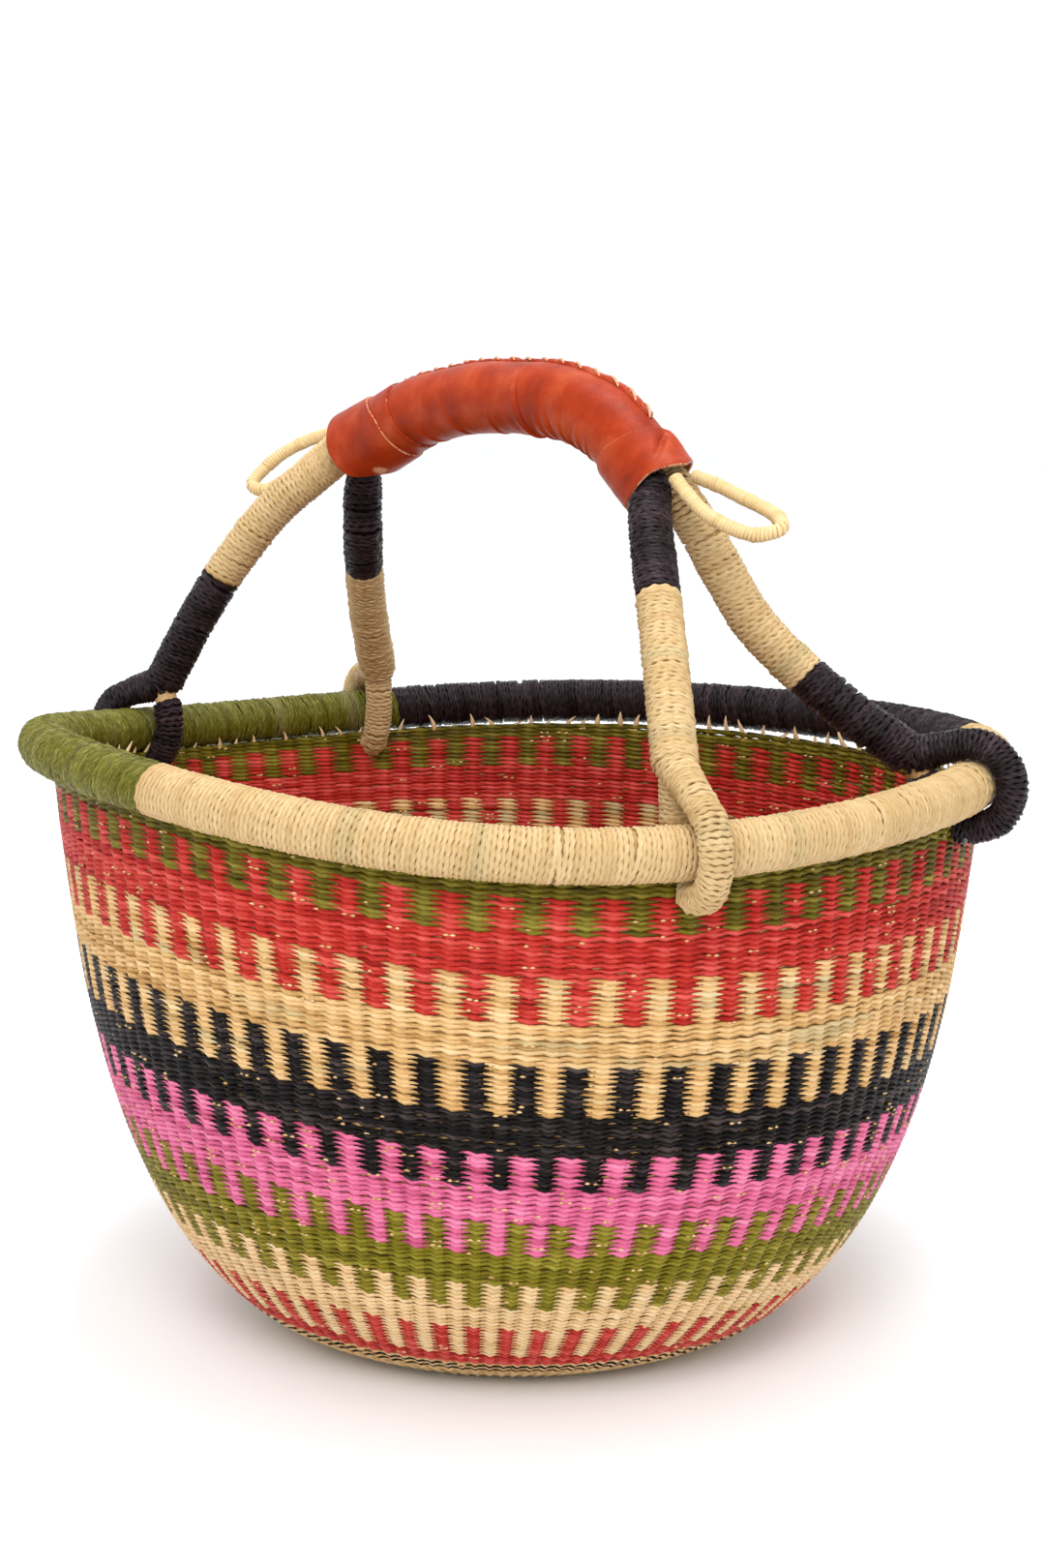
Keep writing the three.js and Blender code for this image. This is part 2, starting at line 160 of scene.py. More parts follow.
def spline(points, step):
    """A centripetal Catmull-Rom curve through the points, resampled at even steps."""
    p = np.array(points, float)
    p = np.vstack([2 * p[0] - p[1], p, 2 * p[-1] - p[-2]])
    dense = []
    for four in zip(p, p[1:], p[2:], p[3:]):
        p0, p1, p2, p3 = four
        gaps = [max(np.linalg.norm(b - a), 1e-6) ** 0.5 for a, b in zip(four, four[1:])]
        knots = np.cumsum([0] + gaps)
        t = np.linspace(knots[1], knots[2], 24, endpoint=False)[:, None]

        def blend(a, b, ta, tb):
            return (a * (tb - t) + b * (t - ta)) / (tb - ta)

        a1 = blend(p0, p1, knots[0], knots[1])
        a2 = blend(p1, p2, knots[1], knots[2])
        a3 = blend(p2, p3, knots[2], knots[3])
        b1 = blend(a1, a2, knots[0], knots[2])
        b2 = blend(a2, a3, knots[1], knots[3])
        dense.append(blend(b1, b2, knots[1], knots[2]))
    return resample(np.vstack(dense + [p[-2:-1]]), step)


def read_off(at, known, values):
    """The vectors in values, known at some distances along a path, at any others."""
    return np.stack([np.interp(at, known, values[:, i]) for i in range(3)], -1)


def resample(dense, step):
    length = arc_lengths(dense)
    count = max(2, int(round(length[-1] / step)) + 1)
    even = np.linspace(0, length[-1], count)
    return read_off(even, length, dense)


def arc_lengths(path):
    return np.concatenate([[0], np.cumsum(np.linalg.norm(np.diff(path, axis=0), axis=1))])


def vectors(*parts):
    """Vectors from their x, y and z, which may be arrays of different shapes."""
    return np.stack(np.broadcast_arrays(*parts), -1)


def unit(v):
    return v / np.linalg.norm(v, axis=-1, keepdims=True)


def path_frames(path, up=(0, 0, 1)):
    """Tangent, side and top directions along a path, the top kept as near to up as it can be."""
    tangent = unit(np.gradient(path, axis=0))
    tops = np.zeros_like(path)
    current = np.array(up, float)
    for i, t in enumerate(tangent):
        current = unit(current - t * (current @ t))
        tops[i] = current
    return tangent, np.cross(tops, tangent), tops


def grid_faces(rows, columns, closed=False):
    """Quads of a grid of points. Each row is closed on itself, and closed joins the last row to the first."""
    r, c = np.meshgrid(np.arange(rows if closed else rows - 1), np.arange(columns), indexing="ij")
    r2, c2 = (r + 1) % rows, (c + 1) % columns
    quads = np.stack([r * columns + c, r * columns + c2, r2 * columns + c2, r2 * columns + c], -1)
    return quads.reshape(-1, 4)


def bar_faces(stations, sides, count=1):
    """Bars laid out one after another: rings of points, with a flat cap at each end of a bar."""
    caps = np.stack([np.arange(sides)[::-1], np.arange(sides) + (stations - 1) * sides])
    groups = (grid_faces(stations, sides), caps)
    offset = (np.arange(count) * stations * sides)[:, None, None]
    return [(group[None] + offset).reshape(-1, group.shape[1]) for group in groups]


def shell_mesh(name, outer, inner, attributes):
    """A closed shell from two grids of points, each closed round its columns."""
    rows, columns = outer.shape[:2]
    count = rows * columns
    skin = grid_faces(rows, columns)
    first = np.arange(columns)
    follow = (first + 1) % columns
    last = first + (rows - 1) * columns
    last_follow = follow + (rows - 1) * columns
    start_edge = np.stack([first, first + count, follow + count, follow], 1)
    end_edge = np.stack([last, last_follow, last_follow + count, last + count], 1)
    points = np.concatenate([outer.reshape(-1, 3), inner.reshape(-1, 3)])
    return make_mesh(name, points, [skin, skin[:, ::-1] + count, start_edge, end_edge], attributes)


def even_angles(count):
    return np.arange(count) * 2 * np.pi / count


def ripple(x, angle, seed, wavelengths, turns, count=40):
    """Random waves over a tube's surface, x along it and angle around it, about -1 to 1."""
    source = np.random.default_rng(seed)
    total = 0
    for _ in range(count):
        wave = 2 * np.pi / source.uniform(*wavelengths)
        around = source.integers(-turns, turns + 1)
        total = total + np.cos(wave * x + around * angle + source.uniform(0, 2 * np.pi))
    return total / count ** 0.5


def smooth_noise(angle, seed, turns=9):
    """A gentle periodic wander around the basket, about -1 to 1."""
    source = np.random.default_rng(seed)
    total = np.zeros_like(angle)
    for n in range(1, turns + 1):
        total += source.normal() / n ** 0.5 * np.cos(n * angle + source.uniform(0, 2 * np.pi))
    return total / 1.8


def bell(x, centre, width):
    return np.exp(-(((x - centre) / width) ** 2))


def rim_lift(angle):
    return RIM_LIFT + sum(h * np.cos(n * (angle - math.radians(peak))) for n, h, peak in RIM_WANDER)


def beside_rim(foot, degrees, distance):
    """A point beside the hoop, in the upright plane at the angle foot: 0 degrees outwards, 90 up."""
    turn = np.radians(degrees)
    radius = RIM_RADIUS + distance * np.cos(turn)
    z = RIM_HEIGHT + rim_lift(foot) + distance * np.sin(turn)
    return vectors(radius * np.cos(foot), radius * np.sin(foot), z)


# ---- the wall's surface ----
def wall_outline():
    """The outer face from the middle of the base to the top, with its direction along the way."""
    rising = spline([(r, 0, z) for r, z in WALL_OUTLINE], 1.0)
    flat = [(r, 0, 0) for r in np.arange(0, BASE_RADIUS, 1.0)]
    on = rising[-1] + unit(rising[-1] - rising[-2]) * WALL_REACH
    points = np.vstack([flat, rising, on])
    direction = unit(np.gradient(points, axis=0))
    for _ in range(6):
        direction[1:-1] = unit(direction[:-2] + 2 * direction[1:-1] + direction[2:])
    return points, direction


outline, outline_t = wall_outline()
outline_s = arc_lengths(outline) - BASE_RADIUS


def wall(s, angle, depth):
    """The point a depth inside the wall's outer face, s along it from the edge of the flat base."""
    r, z = (np.interp(s, outline_s, outline[:, i]) for i in (0, 2))
    along_r, along_z = (np.interp(s, outline_s, outline_t[:, i]) for i in (0, 2))
    r = r - depth * along_z
    z = z + depth * along_r
    z = z + rim_lift(angle) * (np.maximum(z, 0) / RIM_HEIGHT) ** 2
    return vectors(r * np.cos(angle), r * np.sin(angle), z)


def wall_radius(s):
    return np.interp(s, outline_s, outline[:, 0])


DRIFT = 11.0  # how far the rows climb on one side and sink on the other
DRIFT_PEAK = math.radians(225)
STAKE_LEAN = 0.10  # radians sideways at the edge of the base
LEAN_REACH = 150  # along the wall, to where the stakes stand straight
RIB_WANDER = np.random.default_rng(5).normal(0, 0.07, RIBS)  # of the space between ribs


def row_drift(s, angle):
    span = np.clip(s / outline_s[-1], 0, 1)
    return DRIFT * np.sin(np.pi * span) ** 0.7 * np.cos(angle - DRIFT_PEAK)


def rib_angle(rib, ribs, s):
    """Where a stake stands at s. The stakes lean sideways near the base and wave a little."""
    rib = np.asarray(rib)
    angle = 2 * np.pi * (rib + 0.5 + RIB_WANDER[rib]) / ribs
    lean = -STAKE_LEAN * (np.clip(LEAN_REACH - s, 0, LEAN_REACH) / LEAN_REACH) ** 1.5
    return angle + lean + 0.012 * np.sin(5 * angle + s / 60)


# ---- twined weft ----
GRAIN_LENGTH = 1.6  # of the space between ribs, high on the wall
LOW_GRAIN_LENGTH = 1.32  # the same, low on the wall
GRAIN_HEIGHT = 1.46  # of the space between rows
GRAIN_THICKNESS = 1.5
GRAIN_SLANT = 0.36  # of the space between rows, up at one end and down at the other
GRAIN_SAG = 0.14  # of the space between rows, how far the middle hangs
GRAIN_DIVE = 0.22  # how far the tips sink under their neighbours
CREST_PAINTED_HIGHLIGHT = 0.6  # painted highlight: how much paler a grain is along the middle of its face
TIP_PAINTED_SHADE = 0.26  # painted shade: how much darker it is at its tips, where they sink under their neighbours
COLUMN_RELIEF = 1.7  # how deep the furrow between two ribs is


def grain_faces(count, stations, sides):
    """Closed spindles: a tip, rings of points, a tip."""
    stride = stations * sides + 2
    quads = grid_faces(stations, sides) + 1
    side = np.arange(sides)
    follow = (side + 1) % sides
    first = np.stack([np.zeros(sides, int), 1 + follow, 1 + side], 1)
    base = 1 + (stations - 1) * sides
    last = np.stack([np.full(sides, stride - 1), base + side, base + follow], 1)
    offset = (np.arange(count) * stride)[:, None, None]
    return [(quads[None] + offset).reshape(-1, 4), (np.vstack([first, last])[None] + offset).reshape(-1, 3)]


def grains(name, face, s, angle, length, height, tone, green, bend=1.0, proud=0.0):
    """One closed lens of grass for each s and angle, on the outside (face 1) or the inside (-1).
    The arrays hold one number per grain; bend scales how it curves, proud lifts it off the face."""
    u = np.array([-1, -0.82, -0.42, 0, 0.42, 0.82, 1])[None, :, None]
    sides, stations = 6, u.size - 2
    turn = even_angles(sides)[None, None, :]
    columns = (s, angle, length, height, tone, green)
    s, angle, length, height, tone, green = (v[:, None, None] for v in columns)
    count = len(s)
    pitch = height / GRAIN_HEIGHT
    plump = height / 2 * (1 - np.abs(u) ** 1.5)
    thick = GRAIN_THICKNESS / 2 * (1 - np.abs(u) ** 2.0) ** 0.8
    furrow = COLUMN_RELIEF * np.sin(np.pi * u * GRAIN_LENGTH / 2) ** 2
    across = bend * pitch * (-face * GRAIN_SLANT * u + GRAIN_SAG * u ** 2) + plump * np.sin(turn)
    dip = bend * np.minimum(1, length / 15) * (furrow + GRAIN_DIVE * u ** 2)
    depth = dip - proud + thick * (1 - np.cos(turn))
    if face < 0:
        depth = WALL_THICKNESS - depth
    along = length / 2 * u / np.maximum(wall_radius(s), 6)
    points = wall(s + across, angle + along, depth)

    def per_point(values):
        values = np.broadcast_to(values, (count, stations + 2, sides) + np.shape(values)[3:])
        ring = values[:, 1:-1].reshape((count, stations * sides) + values.shape[3:])
        rows = np.concatenate([values[:, :1, 0], ring, values[:, -1:, 0]], 1)
        return rows.reshape((-1,) + values.shape[3:])

    straw = vectors(length / 2 * u, turn * 0.7, tone * 37)
    # painted highlight along the middle of each grain's face, painted shade on its sides and at its tips
    tone_with_painted_light = tone + CREST_PAINTED_HIGHLIGHT * (1 - u ** 2) * (np.cos(turn) - 0.72) - TIP_PAINTED_SHADE * u ** 2
    attributes = {"tone": per_point(tone_with_painted_light), "green": per_point(green), "straw": per_point(straw)}
    return make_mesh(name, per_point(points), grain_faces(count, stations, sides), attributes)


def row_pitch(s):
    return 2.05 + 0.22 * bell(s, 100, 60)


LAST_ROW = -94  # next to the middle of the base
RIBS_HALVE = (-2, -42, -74)  # where only every other stake goes on towards the middle of the base


def weft_rows():
    """Each row of weft from the top down: its number, its distance along the wall, and its ribs."""
    rows = []
    s = TOP_ROW
    while s > LAST_ROW:
        ribs = RIBS // 2 ** sum(s <= limit for limit in RIBS_HALVE)
        rows.append((len(rows), s, ribs))
        s -= row_pitch(s)
    return rows


BORDER_ROWS = (20, 29)
LOW_PAINTED_LIGHT = 0.24  # painted light thrown up from the pale floor: the lowest bands are painted paler
BLACK_ROW_LIFT = -0.3  # but not the black rows of the border
THIN_SHARE, THIN_HEIGHT = 0.06, 0.66  # a few grains are thinner than the rest


def weave(face):
    """Sorts the grains of one face by colour and makes a piece of each colour band."""
    found = {}
    for row, s_row, ribs in weft_rows():
        rib = np.arange(ribs)
        angle = rib_angle(rib, ribs, s_row)
        right = (angle + np.append(angle[1:], angle[0] + 2 * np.pi)) / 2
        left = np.append(right[-1] - 2 * np.pi, right[:-1])
        angle = (left + right) / 2
        # two strands of each row swap places at every rib, and inside they are the other way round
        parity = (rib + (0 if face > 0 else 1)) % 2
        wander = 0.25 * smooth_noise(angle, 1000 + row)
        s = s_row + row_drift(s_row, angle) + wander + rng.normal(0, 0.10, ribs)
        run = smooth_noise(angle, 3000 + row, 14)
        black_row = BORDER_ROWS[0] <= s_row <= BORDER_ROWS[1] and row % 2 == 0
        # the lowest rows are paler with painted light from the floor; the black rows of the border are darker
        # instead
        lift = BLACK_ROW_LIFT if black_row else np.interp(s_row, [20, 80], [LOW_PAINTED_LIGHT, 0.0])
        tone = np.clip(0.5 + lift + 0.13 * run + rng.normal(0, 0.10, ribs), 0, 1)
        tint = 0.9 * smooth_noise(angle, 5000 + row // 3, 20) - 0.3
        green = np.clip(tint + rng.normal(0, 0.3, ribs), 0, 1)
        thin = np.where(rng.random(ribs) < THIN_SHARE, THIN_HEIGHT, 1.0) * rng.uniform(0.94, 1.06, ribs)
        height = GRAIN_HEIGHT * row_pitch(s_row) * thin
        spacing = (right - left) * np.maximum(wall_radius(s), 6)
        share = np.interp(s_row, [60, 150], [LOW_GRAIN_LENGTH, GRAIN_LENGTH])
        length = share * spacing * np.where(parity == 1, 1.04, 0.96)
        for odd in (0, 1):
            name = next(band for band, *edge in BANDS if s_row >= edge[0 if odd else 1])
            if name == "border" and row % 2 == 0:
                name = "border_black"
            pick = parity == odd
            values = (s, angle, length, height, tone, green)
            found.setdefault(name, []).append([v[pick] for v in values])
    pieces = {}
    for name, chunks in found.items():
        arrays = [np.concatenate(column) for column in zip(*chunks)]
        pieces[name] = grains(f"{name}_rows_{SIDES[face]}", face, *arrays)
    return pieces


FLECK_SHARE = 0.08  # of the places where a row crosses a stake
FLECK_BAND = (100, 150)  # where there are more of them
FLECK_BAND_GAIN = 1.6
FLECK_OFFSET = 0.15  # of the space between ribs, to either side of the stake
FLECK_DEPTH = 0.15


def flecks(face):
    """Small beads of undyed grass where a stake shows between two rows."""
    rows = [s for _, s, _ in weft_rows() if s > 6]
    s, rib = (v.ravel() for v in np.meshgrid(rows, np.arange(RIBS), indexing="ij"))
    many = (s > FLECK_BAND[0]) & (s < FLECK_BAND[1])
    pick = rng.random(len(s)) < np.where(many, FLECK_BAND_GAIN, 1.0) * FLECK_SHARE
    s = np.repeat(s[pick], 2)
    rib = np.repeat(rib[pick], 2)
    keep = np.ones(len(s), bool)
    keep[1::2] = rng.random(len(s) // 2) < 0.5
    s, rib = s[keep], rib[keep]
    beside = np.where(np.arange(len(keep))[keep] % 2, FLECK_OFFSET, -FLECK_OFFSET)
    beside = beside + rng.uniform(-0.08, 0.08, len(s))
    angle = rib_angle(rib, RIBS, s) + beside * 2 * np.pi / RIBS
    s = s + row_drift(s, angle) + row_pitch(s) / 2 + rng.normal(0, 0.1, len(s))
    length = rng.uniform(1.7, 2.8, len(s))
    height = rng.uniform(0.9, 1.25, len(s))
    tone = rng.uniform(0.05, 0.65, len(s))
    return grains(f"flecks_{SIDES[face]}", face, s, angle, length, height, tone, 0 * tone, 0.0, -FLECK_DEPTH)


# ---- stakes ----
def stake_lining():
    """The closed sheet of stakes that the weft is twined round, ribbed by the stakes."""
    s = np.concatenate([np.arange(-98.5, 0, 4.0), np.linspace(0, TOP_ROW - 1.2, 72)])
    angle = even_angles(RIBS * 4)
    s, angle = np.meshgrid(s, angle, indexing="ij")
    rib = 0.35 * np.cos(angle * RIBS)
    middle = WALL_THICKNESS / 2
    drifted = np.minimum(s + row_drift(s, angle), outline_s[-1])
    skins = [wall(drifted, angle, middle + side * (0.5 + rib)) for side in (-1, 1)]
    tone = np.full(2 * s.size, 0.35)
    straw = np.stack([np.tile(s.ravel(), 2), np.tile(angle.ravel() * 40, 2), tone], 1)
    return shell_mesh("stake_lining", *skins, {"tone": tone, "green": 0 * tone, "straw": straw})


TIP_START, TIP_TURN = 14.5, 243  # from the hoop's middle, and the angle round it, where a tip starts
TIP_DROP = 12  # about how far below the hoop's middle a tip starts
TIP_RING = 11.6  # the distance from the hoop's middle at which a tip's height is reckoned


def stake_tips():
    """The stakes' cut ends: tapered tips that stand inside the rim, one for each rib."""
    sides, stations = 7, 9
    source = np.random.default_rng(61)
    foot = rib_angle(np.arange(RIBS), RIBS, outline_s[-1]) + source.normal(0, 0.004, RIBS)
    tall = np.clip(source.normal(5.5, 2.6, RIBS), 2.0, 12)
    slim = source.uniform(0.75, 1.1, RIBS)[:, None]
    drift = source.normal(0, 0.012, RIBS)[:, None]
    u = np.linspace(0, 1, stations)[None]
    thick = 1.6 * slim * (1 - u ** 1.4) ** 0.9 + 0.15
    end_turn = 180 + np.degrees(np.arcsin(np.clip((TIP_DROP - tall) / TIP_RING, -0.2, 1)))[:, None]
    turn = TIP_TURN + (end_turn - TIP_TURN) * u
    distance = np.maximum(RIM_THICKNESS / 2 + 0.8 * thick, TIP_START - 4 * u)
    angle = foot[:, None] + drift * u ** 2
    centre = beside_rim(angle, turn, distance)
    phi = even_angles(sides)
    outward = beside_rim(angle, turn, distance + 1) - centre
    sideways = np.stack([-np.sin(angle), np.cos(angle), 0 * angle], -1)
    points = centre[:, :, None] + thick[..., None, None] * (
        0.75 * np.cos(phi)[:, None] * outward[:, :, None] + np.sin(phi)[:, None] * sideways[:, :, None])
    tone = np.repeat(source.uniform(0.5, 1.0, RIBS), stations * sides)
    along = np.tile(np.repeat(u[0] * 12, sides), RIBS)
    straw = np.stack([along, np.tile(phi, RIBS * stations), tone * 37], 1)
    attributes = {"tone": tone, "green": 0 * tone, "straw": straw}
    return make_mesh("stake_tips", points.reshape(-1, 3), bar_faces(stations, sides, RIBS), attributes)


# ---- wound straw ----
GROUP = 12  # turns of one length of straw, before the next one starts
GROUP_STEP = 0.25  # how far its first turn stands out
CROSSING_SHARE, CROSSING_RISE = 0.10, 0.2  # straws that cross others, and how far they stand out
# painted shade: the bundles are painted darker than the straw wound round them
BUNDLE_PAINTED_SHADE_TONE = 0.25


def windings(name, path, radius, pitch, plies, seed, twist=0.36, thickness=1.6, lean=0.09, fine=1.0,
             up=(0, 0, 1), segments=5):
    """Rings of two-ply straw wound round a path. radius is the outside, one number or one per path point.
    plies is how often the two strands swap on the way round; twist is how deep they cut in; fine scales
    how many straws cross others; segments is how finely each swap is drawn."""
    source = np.random.default_rng(seed)
    length = arc_lengths(path)
    count = max(2, int(length[-1] / pitch))
    at = (np.arange(count) + 0.5) * length[-1] / count
    around, sides = segments * plies, 7
    known = (path, *path_frames(path, up))
    centre, tangent, side, top = (read_off(at, length, v)[:, None, None, :] for v in known)
    place = (np.arange(count) + source.integers(GROUP)) % GROUP / GROUP
    step = GROUP_STEP * (1 - place) ** 2
    raised = np.where(source.random(count) < CROSSING_SHARE * fine, CROSSING_RISE, 0)
    outer = np.interp(at, length, np.broadcast_to(radius, length.shape)) + step + raised
    outer = outer + source.normal(0, 0.05, count)
    ring_radius = (outer - thickness / 2)[:, None, None]
    psi = even_angles(around)[None, :, None]
    phi = even_angles(sides)[None, None, :]
    swap = plies * psi / 2 + source.uniform(0, 2 * np.pi, count)[:, None, None]
    lobe = 1 + twist * np.cos(2 * (phi - swap))
    tilt = lean + 0.02 * ripple(at, 0, seed + 1, (12, 40), 0) + source.normal(0, 0.012, count)
    tilt = (tilt + np.where(raised > 0, source.normal(0, 0.14, count), 0))[:, None, None]
    wave = ripple(at[:, None, None], psi, seed + 2, (6, 25), 3)
    radial = ring_radius + 0.07 * wave + thickness / 2 * lobe * np.cos(phi)
    turn = tilt * ring_radius * np.cos(psi + 0.3 * place[:, None, None])
    axial = turn + 0.07 * wave + 0.6 * pitch * lobe * np.sin(phi)
    outward = np.cos(psi)[..., None] * top + np.sin(psi)[..., None] * side
    points = (centre + radial[..., None] * outward + axial[..., None] * tangent).reshape(-1, 3)
    quads = grid_faces(around, sides, closed=True)
    faces = (quads[None] + (np.arange(count) * around * sides)[:, None, None]).reshape(-1, 4)
    ones = np.ones((count, around, sides))
    tone = 0.54 + 0.05 * ripple(at, 0, seed + 3, (12, 50), 0) + source.normal(0, 0.05, count)
    # painted shade: the first turn of each length of straw is darker, for the dark line where one length
    # meets the next
    tone = np.clip(tone - np.where(place < 1.2 / GROUP, 0.12, 0), 0, 1)[:, None, None]
    green = np.clip(1.6 * ripple(at, 0, seed + 4, (14, 60), 0) - 1.3, 0, 1)[:, None, None]
    straw = np.stack([psi * ring_radius * ones, (phi - swap) * 0.6 * ones, tone * 37 * ones], -1)
    attributes = {"tone": (tone * ones).ravel(), "green": (green * ones).ravel()}
    attributes["straw"] = straw.reshape(-1, 3)
    return make_mesh(name, points, [faces], attributes)


def tube(name, path, radius, sides=16, up=(0, 0, 1)):
    """A smooth closed bar along a path, for the bundle under a winding."""
    _, side, top = path_frames(path, up)
    psi = even_angles(sides)[None, :, None]
    radius = np.broadcast_to(radius, len(path))[:, None, None]
    points = path[:, None] + radius * (np.cos(psi) * top[:, None] + np.sin(psi) * side[:, None])
    count = len(path)
    # the bundle's low tone is painted shade, darker than its winding
    tone = np.full(count * sides, BUNDLE_PAINTED_SHADE_TONE)
    around = np.tile(psi.ravel() * radius[0, 0, 0], count)
    straw = np.stack([np.repeat(arc_lengths(path), sides), around, tone], 1)
    attributes = {"tone": tone, "green": 0 * tone, "straw": straw}
    return make_mesh(name, points.reshape(-1, 3), bar_faces(count, sides), attributes)


# ---- the leather grip ----
# Round the grip, 0 degrees is up, 90 towards the front (-Y), 180 down. Along it, 0 to 1 is left to right.
def around_points(turns, values):
    """A function of the angle round the grip that passes smoothly through a few values."""
    turns = np.radians(np.array([turns[-1] - 360, *turns, turns[0] + 360]))
    values = np.array([values[-1], *values, values[0]])
    curve = spline([(t, v * 10, 0) for t, v in zip(turns, values)], 0.03)
    return lambda turn: np.interp(turn, curve[:, 0], curve[:, 1] / 10)


LEFT_MOUTH = around_points([0, 60, 100, 140, 170, 200, 240, 300],
                           [-0.02, -0.005, 0.0, 0.015, 0.06, 0.07, 0.04, -0.02])
STRIP_EDGE = around_points([0, 60, 90, 130, 180, 270], [0.10, 0.14, 0.165, 0.17, 0.165, 0.12])
BAND_EDGE = around_points([0, 60, 135, 180, 270], [0.185, 0.20, 0.22, 0.22, 0.20])
CUFF_EDGE = around_points([0, 45, 110, 180, 250, 330], [0.912, 0.90, 0.88, 0.89, 0.905, 0.92])
RIGHT_MOUTH = around_points([0, 30, 60, 90, 120, 150, 180, 270, 320],
                            [1.025, 1.02, 1.007, 1.005, 1.0, 0.985, 0.965, 0.98, 1.0])
GRIP_LENGTH = 196.0


def fold(t, turn, at, tilt, start, end, depth, width):
    """A crease across the grip between two angles: a bulge that ends in a sharp step down."""
    degrees = np.degrees(turn)
    reach = 1 / (1 + np.exp(-(degrees - start) / 7)) / (1 + np.exp((degrees - end) / 7))
    x = (t - at - tilt * (degrees - (start + end) / 2) / 100) * GRIP_LENGTH
    slope = np.exp(np.minimum(x, 0) / width)
    step = np.exp(-np.maximum(x, 0) / 0.5) - 0.35 * bell(x, 1.2, 1.0)
    return depth * reach * np.where(x < 0, slope, step)


FOLDS = [  # where, slope, first and last angle, depth, width
    (0.385, 0.03, 100, 165, 0.7, 5), (0.60, 0.03, 45, 185, 1.3, 7), (0.50, -0.02, 120, 200, 0.5, 4),
    (0.665, 0.02, 70, 200, 0.7, 3), (0.70, 0.03, 95, 210, 0.9, 3.5), (0.735, 0.02, 60, 205, 0.8, 3.5),
    (0.765, 0.03, 105, 215, 0.9, 3), (0.80, 0.02, 80, 205, 0.8, 3.5), (0.835, 0.02, 110, 210, 0.7, 3),
    (0.28, 0.02, 130, 200, 0.4, 5), (0.45, 0.02, 300, 350, 0.4, 5), (0.68, -0.03, 250, 330, 0.6, 5),
    (0.33, 0.03, 230, 320, 0.5, 6),
]


def grip_radius(t, turn):
    """The sleeve's outside, with its folds, bunched wrinkles and the lumps of the bundles under it."""
    x = t * GRIP_LENGTH
    below = (1 - np.cos(turn - math.radians(15))) / 2
    radius = LEATHER_RADIUS - 0.5 + 0.9 * np.exp(-np.maximum(t, 0) / 0.05) * (1 + 2.4 * below)
    top = bell((np.degrees(turn) + 200) % 360, 180, 40)
    radius = radius + (0.9 - 1.7 * top) * np.exp((np.minimum(t, 1.0) - 1.0) / 0.035)
    bunched = bell(t, 0.74, 0.14) * below ** 1.5
    rings = ripple(x, turn, 70, (5, 11), 3)
    fine = ripple(x, turn, 71, (1.6, 4.5), 3)
    soft = ripple(x, turn, 72, (25, 80), 3)
    radius = radius + (0.02 + 0.30 * bunched) * rings + (0.01 + 0.04 * bunched) * fine + 0.3 * soft
    for crease in FOLDS:
        radius = radius + fold(t, turn, *crease)
    return radius


def grip_frames():
    """The grip's middle line, run on straight at both ends, with its directions and its own 0 to 1."""
    line = spline(GRIP_ROUTE, 1.0)
    spare = 14.0
    before = line[0] - unit(line[1] - line[0]) * spare
    beyond = line[-1] + unit(line[-1] - line[-2]) * spare
    line = resample(np.vstack([[before], line, [beyond]]), 1.0)
    _, side, top = path_frames(line)
    x = arc_lengths(line) - spare
    return x / (x[-1] - spare), line, side, top


GRIP_T, GRIP_LINE, GRIP_SIDE, GRIP_TOP = grip_frames()


def on_grip(t, turn, radius):
    """A point at a distance from the grip's middle line."""
    centre, side, top = (read_off(t, GRIP_T, v) for v in (GRIP_LINE, GRIP_SIDE, GRIP_TOP))
    return centre + radius[..., None] * (np.cos(turn)[..., None] * top - np.sin(turn)[..., None] * side)


def leather_sheet(name, begin, end, lift, stations, rub=0.6, thickness=1.3, around=150):
    """A wrapped sheet of leather from one edge to the other, each a function of the angle round the grip."""
    turn = even_angles(around)[None]
    v = np.linspace(0, 1, stations)[:, None]
    begins, ends = begin(turn), end(turn)
    t = begins + (ends - begins) * v
    turn = turn + 0 * t
    to_edge = np.minimum(t - begins, ends - t) * GRIP_LENGTH
    radius = grip_radius(t, turn) + lift(t, turn) - 0.35 * np.exp(-to_edge / 0.35)
    inner = np.maximum(radius - thickness, 5)
    cut = rub * np.clip(1 - to_edge / 0.3, 0, 1)
    place = vectors(t * GRIP_LENGTH, turn * LEATHER_RADIUS, 0 * t).reshape(-1, 3)
    scuff = 1.1 * np.exp(-(((t - 0.078) * GRIP_LENGTH / 3.0) ** 2) - ((np.degrees(turn) - 160) / 10) ** 2)
    wear = np.maximum(cut, scuff).ravel()
    lining_wear = np.maximum(cut, 0.55).ravel()
    attributes = {"place": np.tile(place, (2, 1)), "wear": np.concatenate([wear, lining_wear])}
    return shell_mesh(name, on_grip(t, turn, radius), on_grip(t, turn, inner), attributes)


SEAM_TURN = math.radians(-12)
STITCHES = 17
STITCH_REACH = 2.8
STITCH_SLANT = 4.4
STITCH_WEAR = 0.75
SEAM_START, SEAM_END = 0.112, 0.882  # along the grip


